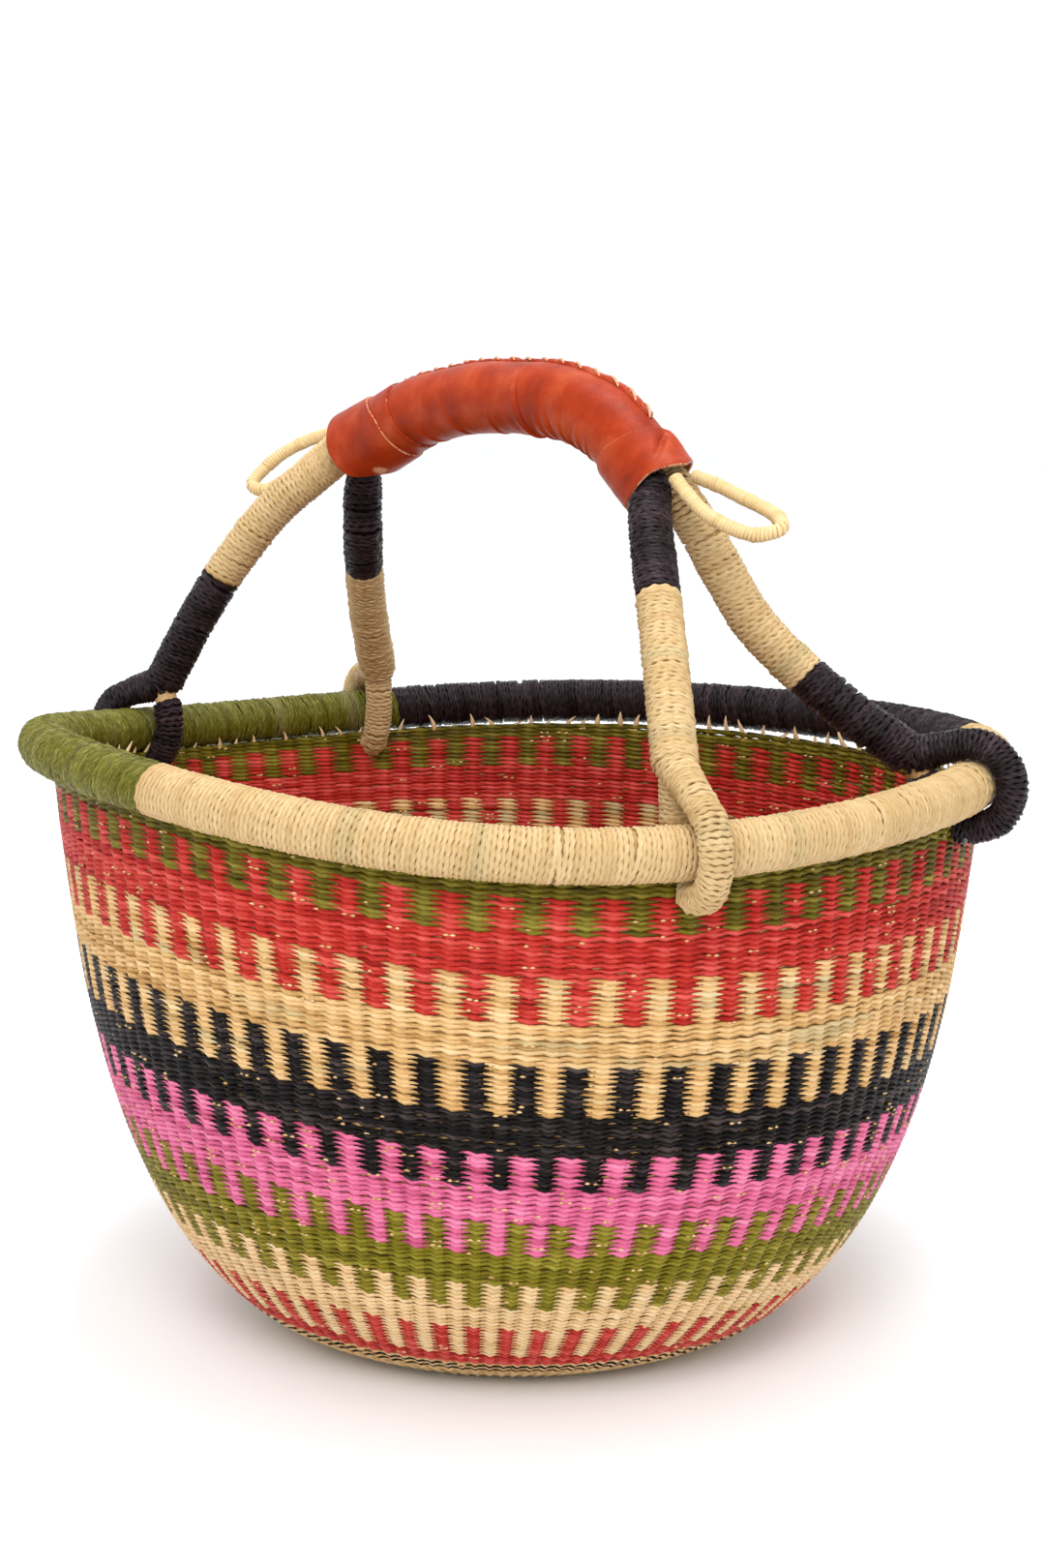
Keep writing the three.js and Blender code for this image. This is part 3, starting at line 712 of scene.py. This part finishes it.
def seam_ridge():
    """The sleeve's two edges, folded up together and pinched by each stitch."""
    stations, sides = 420, 18
    t = np.linspace(SEAM_START, SEAM_END, stations)[:, None]
    phi = np.linspace(0, 2 * np.pi, sides, endpoint=False)[None]
    beat = (t - SEAM_START) / (SEAM_END - SEAM_START) * STITCHES
    pinch = bell(beat % 1 - 0.5, 0, 0.16)
    taper = np.clip(np.minimum(t - SEAM_START, SEAM_END - t) / 0.012, 0.15, 1)
    height = (2.3 - 0.9 * pinch + 0.25 * ripple(t * GRIP_LENGTH, 0, 75, (4, 14), 0)) * taper
    width = (2.5 - 0.5 * pinch) * taper
    lean = 0.05 * ripple(t * GRIP_LENGTH, 0, 76, (14, 50), 0)
    across = width * np.sin(phi)
    split = 0.55 * bell(across / width, 0.15, 0.22) * (np.cos(phi) > 0)
    up = height * (np.cos(phi) - 0.15) - split * taper
    turn = SEAM_TURN + lean + across / LEATHER_RADIUS
    base = grip_radius(t, SEAM_TURN + 0 * t)
    points = on_grip(t + 0 * phi, turn, base + up)
    place = vectors(t * GRIP_LENGTH, across, 0 * up).reshape(-1, 3)
    wear = np.clip(0.9 * bell(across / width, 0.15, 0.18) * (np.cos(phi) > 0), 0, 1).ravel()
    faces = bar_faces(stations, sides)
    return make_mesh("leather_seam", points.reshape(-1, 3), faces, {"place": place, "wear": wear})


def seam_stitches():
    """Flat thongs of pale leather that cross the seam on a slant, one for each stitch."""
    stations, sides = 17, 10
    beat = (np.arange(STITCHES) + 0.5)[:, None, None]
    t = SEAM_START + (SEAM_END - SEAM_START) * beat / STITCHES
    v = np.linspace(-1, 1, stations)[None, :, None]
    phi = even_angles(sides)[None, None, :]
    half_thick = 0.65 * (1 - 0.85 * np.abs(v) ** 6)
    half_wide = 0.8 * (1 - 0.55 * np.abs(v) ** 4)
    across = STITCH_REACH * v
    crown = 2.3 * np.sqrt(np.maximum(1 - (across / 3.4) ** 2, 0)) - 0.5 * np.abs(v) ** 3
    t = t + (STITCH_SLANT * v + half_wide * np.sin(phi)) / GRIP_LENGTH
    turn = SEAM_TURN + across / LEATHER_RADIUS + 0 * t
    base = grip_radius(t, turn)
    points = on_grip(t, turn, base + crown * 0.8 + half_thick * np.cos(phi)).reshape(-1, 3)
    place = vectors(t * GRIP_LENGTH, across, 0 * t).reshape(-1, 3)
    attributes = {"place": place, "wear": np.full(len(place), STITCH_WEAR)}
    return make_mesh("leather_stitches", points, bar_faces(stations, sides, STITCHES), attributes)


# ---- routes ----
def rim_arc(start, end, step=2.0):
    angle = np.radians(np.linspace(start, end, int(abs(end - start) * math.radians(RIM_RADIUS) / step)))
    return np.stack([RIM_RADIUS * np.cos(angle), RIM_RADIUS * np.sin(angle), RIM_HEIGHT + rim_lift(angle)], 1)


def in_grip(side, stations=7):
    """Where one bail's bundle lies as it turns half way round the other inside the grip."""
    grip = spline(GRIP_ROUTE, 1.0)
    _, across, top = path_frames(grip)
    pick = np.linspace(0, len(grip) - 1, stations).astype(int)
    turn = np.pi * np.linspace(0, 1, stations)[:, None]
    return grip[pick] + side * CORE_SPACING / 2 * (np.cos(turn) * across[pick] - np.sin(turn) * top[pick])


def tines(leg):
    """The two wrapped ends that a leg splits into: one over the hoop's outside, one over its inside."""
    foot = math.radians(leg["foot"])
    ring = RIM_THICKNESS / 2 + TINE_THICKNESS / 2 + TINE_CLEARANCE
    crotch = leg["route"][-1]
    outer = [crotch] + [beside_rim(foot, turn, ring) for turn in (78, 40, 0, -45, -90)]
    inner = [crotch, beside_rim(foot, 172, ring + 2)]
    inner += [beside_rim(foot, turn, ring) for turn in (215, 245, 270)]
    return spline(outer, 1.5), spline(inner, 1.5)


# ---- materials ----
COLOURS = {  # dark, middle and light of each dye, from 0 to 255 as a screen shows it
    "natural": ((160, 110, 48), (222, 177, 115), (250, 216, 164)),
    "natural_pale": ((204, 160, 98), (238, 200, 146), (252, 222, 176)),
    "olive": ((84, 76, 0), (124, 112, 8), (168, 156, 60)),
    "olive_dark": ((58, 50, 0), (100, 88, 2), (160, 146, 56)),
    "red": ((140, 12, 6), (190, 42, 32), (232, 102, 92)),
    "black": ((8, 5, 5), (18, 12, 12), (84, 72, 70)),
    "pink": ((176, 60, 98), (228, 108, 150), (246, 150, 186)),
    "wrap_natural": ((174, 130, 70), (212, 180, 128), (238, 211, 164)),
    "wrap_olive": ((52, 50, 0), (108, 104, 16), (164, 162, 84)),
    "wrap_black": ((8, 4, 5), (28, 18, 20), (92, 72, 80)),
    "stake": ((176, 130, 72), (222, 180, 120), (246, 214, 164)),
    "loop": ((214, 174, 108), (238, 206, 150), (250, 226, 180)),
    "khaki": ((150, 134, 88), (188, 174, 128), (214, 202, 160)),
    "leather": ((118, 26, 0), (168, 52, 12), (200, 88, 46)),
    "leather_edge": ((214, 150, 112), (226, 170, 134), (238, 190, 156)),
}
PAINT_STRENGTH = 0.80  # how dark a paint has to be, to look its colour under the bright lamps


def linear(colour):
    """A screen colour as the linear paint that looks like it under the scene's light."""
    value = np.array(colour) / 255
    low = value / 12.92
    high = ((value + 0.055) / 1.055) ** 2.4
    return (*(np.where(value < 0.04, low, high) * PAINT_STRENGTH), 1)


class Nodes:
    """Adds shader nodes with less writing."""

    def __init__(self, name):
        self.material = bpy.data.materials.new(name)
        self.material.use_nodes = True
        self.tree = self.material.node_tree
        self.shader = self.tree.nodes["Principled BSDF"]

    def add(self, kind, inputs=None, **settings):
        node = self.tree.nodes.new(kind)
        for key, value in settings.items():
            setattr(node, key, value)
        for key, value in (inputs or {}).items():
            if isinstance(value, bpy.types.NodeSocket):
                self.tree.links.new(value, node.inputs[key])
            else:
                node.inputs[key].default_value = value
        return node

    def math(self, operation, first, second):
        return self.add("ShaderNodeMath", {0: first, 1: second}, operation=operation).outputs["Value"]

    def spread(self, value, to_low, to_high, low=0.3, high=0.7):
        """Maps one range onto another: unless told, the range where most of a noise lies."""
        settings = {"Value": value, "From Min": low, "From Max": high, "To Min": to_low, "To Max": to_high}
        return self.add("ShaderNodeMapRange", settings).outputs["Result"]

    def mix(self, factor, first, second):
        node = self.add("ShaderNodeMix", {"Factor": factor}, data_type="RGBA")
        self.tree.links.new(first, node.inputs["A"])
        self.tree.links.new(second, node.inputs["B"])
        return node.outputs["Result"]

    def attribute(self, name, output="Fac"):
        return self.add("ShaderNodeAttribute", attribute_name=name).outputs[output]

    def noise(self, vector, scale, stretch=(1, 1, 1), detail=4.0):
        mapped = self.add("ShaderNodeMapping", {"Vector": vector, "Scale": stretch}).outputs["Vector"]
        inputs = {"Vector": mapped, "Scale": scale, "Detail": detail}
        return self.add("ShaderNodeTexNoise", inputs).outputs["Fac"]

    def ramp(self, value, colours):
        node = self.add("ShaderNodeValToRGB", {"Fac": value})
        elements = node.color_ramp.elements
        elements[0].color = linear(colours[0])
        elements[1].color = linear(colours[-1])
        elements.new(0.5).color = linear(colours[1])
        return node.outputs["Color"]

    def link(self, output, key):
        self.tree.links.new(output, self.shader.inputs[key])

    def bump(self, height, strength, distance):
        inputs = {"Height": height, "Strength": strength, "Distance": distance}
        self.link(self.add("ShaderNodeBump", inputs).outputs["Normal"], "Normal")


def grass(name, colour, roughness, specular, fibre_depth=0.4, greening=0.0):
    """Dyed grass: each straw has its own tone, with painted highlight and painted shade added to that tone,
    and split fibres running along it.
    """
    nodes = Nodes(name)
    tone = nodes.attribute("tone")
    straw = nodes.attribute("straw", "Vector")
    fibre = nodes.noise(straw, 1.6, (0.18, 2.6, 1.0))
    mottle = nodes.noise(straw, 0.5, (0.5, 1.0, 1.0), 2.0)
    value = nodes.math("ADD", tone, nodes.spread(fibre, -0.36 * fibre_depth, 0.36 * fibre_depth))
    value = nodes.math("ADD", value, nodes.spread(mottle, -0.10, 0.10))
    colour_out = nodes.ramp(value, COLOURS[colour])
    if greening:
        green = nodes.math("MULTIPLY", nodes.attribute("green"), greening)
        colour_out = nodes.mix(green, colour_out, nodes.ramp(value, COLOURS["khaki"]))
    nodes.link(colour_out, "Base Color")
    nodes.link(nodes.spread(fibre, roughness + 0.08, roughness - 0.08), "Roughness")
    nodes.shader.inputs["Specular IOR Level"].default_value = specular
    nodes.bump(fibre, fibre_depth, 0.0004)
    return nodes.material


GRASSES = {  # roughness, specular level, fibre depth, greening
    "natural": (0.50, 0.15, 0.5, 0.6),
    "natural_pale": (0.50, 0.15, 0.5, 0.25),
    "olive": (0.38, 0.13, 0.5, 0),
    "olive_dark": (0.36, 0.14, 0.5, 0),
    "red": (0.36, 0.13, 0.5, 0),
    "black": (0.22, 0.09, 0.5, 0),
    "pink": (0.42, 0.15, 0.5, 0),
    "wrap_natural": (0.46, 0.15, 0.5, 0.45),
    "wrap_olive": (0.30, 0.19, 0.95, 0.3),
    "wrap_black": (0.26, 0.15, 0.7, 0),
    "stake": (0.6, 0.15, 0.5, 0.3),
    "loop": (0.45, 0.2, 0.5, 0.2),
}


def leather():
    """Rubbed goat leather: blotched dye, fine pores, streaks round the grip, pale where it is cut or worn."""
    nodes = Nodes("leather")
    place = nodes.attribute("place", "Vector")
    blotch = nodes.noise(place, 0.06, (1.0, 0.8, 1.0), 6.0)
    streak = nodes.noise(place, 0.6, (1.0, 0.3, 1.0), 6.0)
    pores = nodes.add("ShaderNodeTexVoronoi", {"Vector": place, "Scale": 1.6}).outputs["Distance"]
    grain = nodes.noise(place, 0.9, (1, 1, 1), 6.0)
    blotches = nodes.spread(blotch, 0.18, 0.82)
    value = nodes.math("ADD", blotches, nodes.spread(streak, -0.03, 0.03))
    skin = nodes.ramp(value, COLOURS["leather"])
    frayed = nodes.math("ADD", nodes.attribute("wear"), nodes.spread(grain, -0.30, 0.30))
    worn = nodes.spread(frayed, 0.0, 1.0, 0.35, 0.65)
    nodes.link(nodes.mix(worn, skin, nodes.ramp(grain, COLOURS["leather_edge"])), "Base Color")
    nodes.link(nodes.spread(streak, 0.46, 0.34), "Roughness")
    nodes.shader.inputs["Specular IOR Level"].default_value = 0.14
    height = nodes.math("ADD", nodes.math("MULTIPLY", pores, 0.5), nodes.math("MULTIPLY", streak, 0.1))
    nodes.bump(nodes.math("ADD", height, grain), 0.3, 0.0004)
    return nodes.material


materials = {}


def paint(piece, key, body="basket"):
    """Gives a piece its material and its body."""
    if key not in materials:
        materials[key] = leather() if key == "leather" else grass(key, key, *GRASSES[key])
    piece.data.materials.append(materials[key])
    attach(piece, body)


# ---- camera, light and floor ----
def set_camera():
    target = np.array([0, 0, 0.229])
    distance, elevation, azimuth = 1.20, math.radians(9.533), math.radians(45)
    away = np.array([math.sin(azimuth) * math.cos(elevation), -math.cos(azimuth) * math.cos(elevation),
                     math.sin(elevation)])
    camera = add_object("camera", bpy.data.cameras.new("camera"))
    camera.location = target + distance * away
    camera.rotation_euler = (math.pi / 2 - elevation, 0, azimuth)
    camera.data.sensor_fit = "VERTICAL"
    camera.data.sensor_height = 36
    camera.data.lens = 64.2
    camera.data.shift_x = 0.0034
    bpy.context.scene.camera = camera


def add_area(name, place, size, power):
    """A square soft lamp that looks at the basket."""
    lamp = bpy.data.lights.new(name, "AREA")
    lamp.size = size
    lamp.energy = power
    light = add_object(name, lamp)
    light.location = place
    light.rotation_euler = (Vector((0, 0, 0.2)) - Vector(place)).to_track_quat("-Z", "Y").to_euler()


def set_stage():
    size = 6.0 / MM
    corners = np.array([(-size, -size, 0), (size, -size, 0), (size, size, 0), (-size, size, 0)])
    floor = make_mesh("floor", corners, [np.array([[0, 1, 2, 3]])])
    nodes = Nodes("floor")
    nodes.shader.inputs["Base Color"].default_value = (0.935, 0.948, 0.965, 1)
    nodes.shader.inputs["Roughness"].default_value = 0.8
    floor.data.materials.append(nodes.material)
    world = bpy.data.worlds.new("studio")
    world.use_nodes = True
    background = world.node_tree.nodes["Background"]
    background.inputs["Color"].default_value = (1, 1, 1, 1)
    background.inputs["Strength"].default_value = 1.05
    bpy.context.scene.world = world
    add_area("key", (1.3, -1.5, 1.9), 1.3, 35)
    add_area("top", (0.1, 0.1, 2.2), 1.0, 24)
    bpy.context.scene.view_settings.view_transform = "Standard"


# ---- the pieces ----
def build_weave():
    for face, side in SIDES.items():
        for band, piece in weave(face).items():
            key = BAND_PAINT[band]
            paint(piece, key)
            if band == "base":
                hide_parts(f"base_weave_{side}")
            elif band != "border_black":
                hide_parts(f"{band}_weft_{side}")
        paint(flecks(face), "natural_pale")
    lining = stake_lining()
    paint(lining, "stake")
    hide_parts("base_stakes", *[f"stake_panel_{i + 1:02d}" for i in range(STAKE_PANELS)])
    paint(stake_tips(), "natural_pale")


# Colour, first and last angle round the hoop, space between turns, then plies, twist, lean and fine of
# windings(). The first angle is also the seed.
RIM_COLOURS = [
    ("natural", 272, 411, 1.9, 14, 0.27, 0.10, 0.5),
    ("black", 51, 153, 1.6, 13, 0.32, 0.14, 1.2),
    ("olive", 153, 272, 1.38, 10, 0.34, 0.17, 2.0),
]
RIM_BUNDLE_DEPTH = 1.2  # how far a bundle lies under the outside of its winding
BUNDLE_DEPTH = 1.1


def build_rim():
    for colour, start, end, pitch, plies, twist, lean, fine in RIM_COLOURS:
        key = f"wrap_{colour}"
        path = rim_arc(start, end)
        winding = windings(f"rim_winding_{colour}", path, RIM_THICKNESS / 2, pitch, plies, start, twist,
                           lean=lean, fine=fine, segments=4)
        paint(winding, key)
        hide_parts(f"rim_{key}")
        bundle = tube(f"rim_bundle_{colour}", path, RIM_THICKNESS / 2 - RIM_BUNDLE_DEPTH, 24)
        paint(bundle, key)
        if colour == "natural":
            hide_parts("rim_hoop")


LEG_START = 24  # how far up inside the leather a leg's winding starts
LEG_TAPER = 22  # along the leg, to where it is nearly full size
LEG_FULL = 42  # along the leg, to where it is full size
CORE_RADIUS = 6.2
START_RADIUS = 6.4  # of a leg's winding, inside the leather
SNUG = {"left": 1.2, "right": 0.4, "back": 0.4, "front": 0.4}  # how much slimmer a leg is at the leather
BARE_TINE = {"black": 6, "natural": 3}  # points of the inner tine left without winding at the crotch
TINE_TAPER = 24  # along the outer tine, to where it is down to its own thickness


def wound(name, path, radius, colour, pitch, plies, seed, **settings):
    """A winding with the bundle under it, both in the same colour."""
    key = f"wrap_{colour}"
    winding = windings(f"{name}_winding", path, radius, pitch, plies, seed, **settings)
    bundle = tube(f"{name}_bundle", path, radius - BUNDLE_DEPTH, up=settings.get("up", (0, 0, 1)))
    paint(winding, key)
    paint(bundle, key)
    return winding


def build_handle():
    thick = LEG_THICKNESS / 2
    for start, end, side in BAILS:
        route = np.array([*LEGS[start]["route"][::-1], *in_grip(side), *LEGS[end]["route"]], float)
        path = spline(route, 1.0)
        name = "dark_foot_bail" if side < 0 else "pale_foot_bail"
        core = tube(f"{name}_bundle", path, CORE_RADIUS)
        paint(core, "stake")
        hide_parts(f"{name}_core")
        half = len(path) // 2
        for which, stretch in ((start, path[:half][::-1]), (end, path[half:])):
            leg = LEGS[which]
            mouth = np.argmin(np.linalg.norm(stretch - np.array(leg["route"][0]), axis=1))
            change = mouth + np.argmax(stretch[mouth:, 2] < leg["change"])
            upper = stretch[mouth - LEG_START:change]
            sizes = [START_RADIUS, thick - SNUG[which], thick]
            radius = np.interp(np.arange(len(upper)), [0, LEG_TAPER, LEG_FULL], sizes)
            seed = 50 + leg["foot"]
            winding = wound(f"{which}_leg_upper", upper, radius, leg["upper"], 2.05, 11, seed)
            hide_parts(f"{which}_leg_wrap")
            winding = wound(f"{which}_leg_lower", stretch[change:], thick, leg["lower"], 2.0, 11, seed + 1)
            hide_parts(f"{which}_leg_fork")
            foot = math.radians(leg["foot"])
            outward = (math.cos(foot), math.sin(foot), 0.3)
            outer, inner = tines(leg)
            slim = TINE_THICKNESS / 2
            joined = resample(np.vstack([stretch[-7:-1], outer]), 1.5)
            radius = np.interp(arc_lengths(joined), [0, TINE_TAPER], [thick - 0.3, slim])
            wound(f"{which}_outer_tine", joined, radius, leg["lower"], 1.9, 8, seed + 2, up=outward)
            wrapped = inner[BARE_TINE[leg["lower"]]:]
            wound(f"{which}_inner_tine", wrapped, slim, leg["lower"], 1.8, 8, seed + 3, up=outward)
            crotch = tube(f"{which}_crotch_bundle", inner[:9], slim - 1.2, up=outward)
            paint(crotch, "natural_pale")


LOOP_RADIUS = CORD_THICKNESS / 2 - 0.25  # a little slimmer than the CAD cord, to stay clear of the legs
LOOP_BUNDLE_RADIUS = CORD_THICKNESS / 2 - 0.75


def build_loops():
    for which, points in HANGING_LOOPS.items():
        path = spline(points, 0.7)
        winding = windings(f"{which}_hanging_loop_winding", path, LOOP_RADIUS, 1.5, 4, 90 + len(which),
                           twist=0.0, thickness=0.95, lean=0.2, fine=0.3)
        cord = tube(f"{which}_hanging_loop_cord", path, LOOP_BUNDLE_RADIUS, sides=10)
        paint(winding, "loop", f"{which}_loop")
        paint(cord, "loop", f"{which}_loop")
        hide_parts(f"{which}_hanging_loop")


def build_leather():
    def lifted(height):
        return lambda t, turn: height + 0 * t

    def shifted(edge, along):
        return lambda turn: edge(turn) + along

    sleeve = leather_sheet("leather_sleeve", shifted(STRIP_EDGE, -0.05), shifted(CUFF_EDGE, 0.05),
                           lifted(0), 320)
    band = leather_sheet("leather_band", shifted(STRIP_EDGE, -0.03), BAND_EDGE, lifted(0.9), 70, 0.2)
    strip = leather_sheet("leather_left_end", LEFT_MOUTH, STRIP_EDGE, lifted(1.9), 140)
    cuff = leather_sheet("leather_right_cuff", CUFF_EDGE, RIGHT_MOUTH, cuff_lift, 120)
    ridge, stitches = seam_ridge(), seam_stitches()
    replaced = [(sleeve, "leather_grip"), (band, None), (strip, "leather_end_strip"), (cuff, "leather_cuff"),
                (ridge, None), (stitches, "leather_seam_thong")]
    for piece, node in replaced:
        paint(piece, "leather")
        if node:
            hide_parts(node)


def cuff_lift(t, turn):
    """The cuff stands off the sleeve and has a three-cornered tuck on its top."""
    degrees = (np.degrees(turn) + 180) % 360 - 180
    tuck = bell(degrees, 12 + 700 * (t - 0.95), 8) * bell(t, 0.95, 0.025)
    return 1.5 - 2.2 * tuck + 1.2 * bell(degrees, -14, 14) * bell(t, 0.95, 0.035)


set_camera()
set_stage()
build_weave()
build_rim()
build_handle()
build_loops()
build_leather()
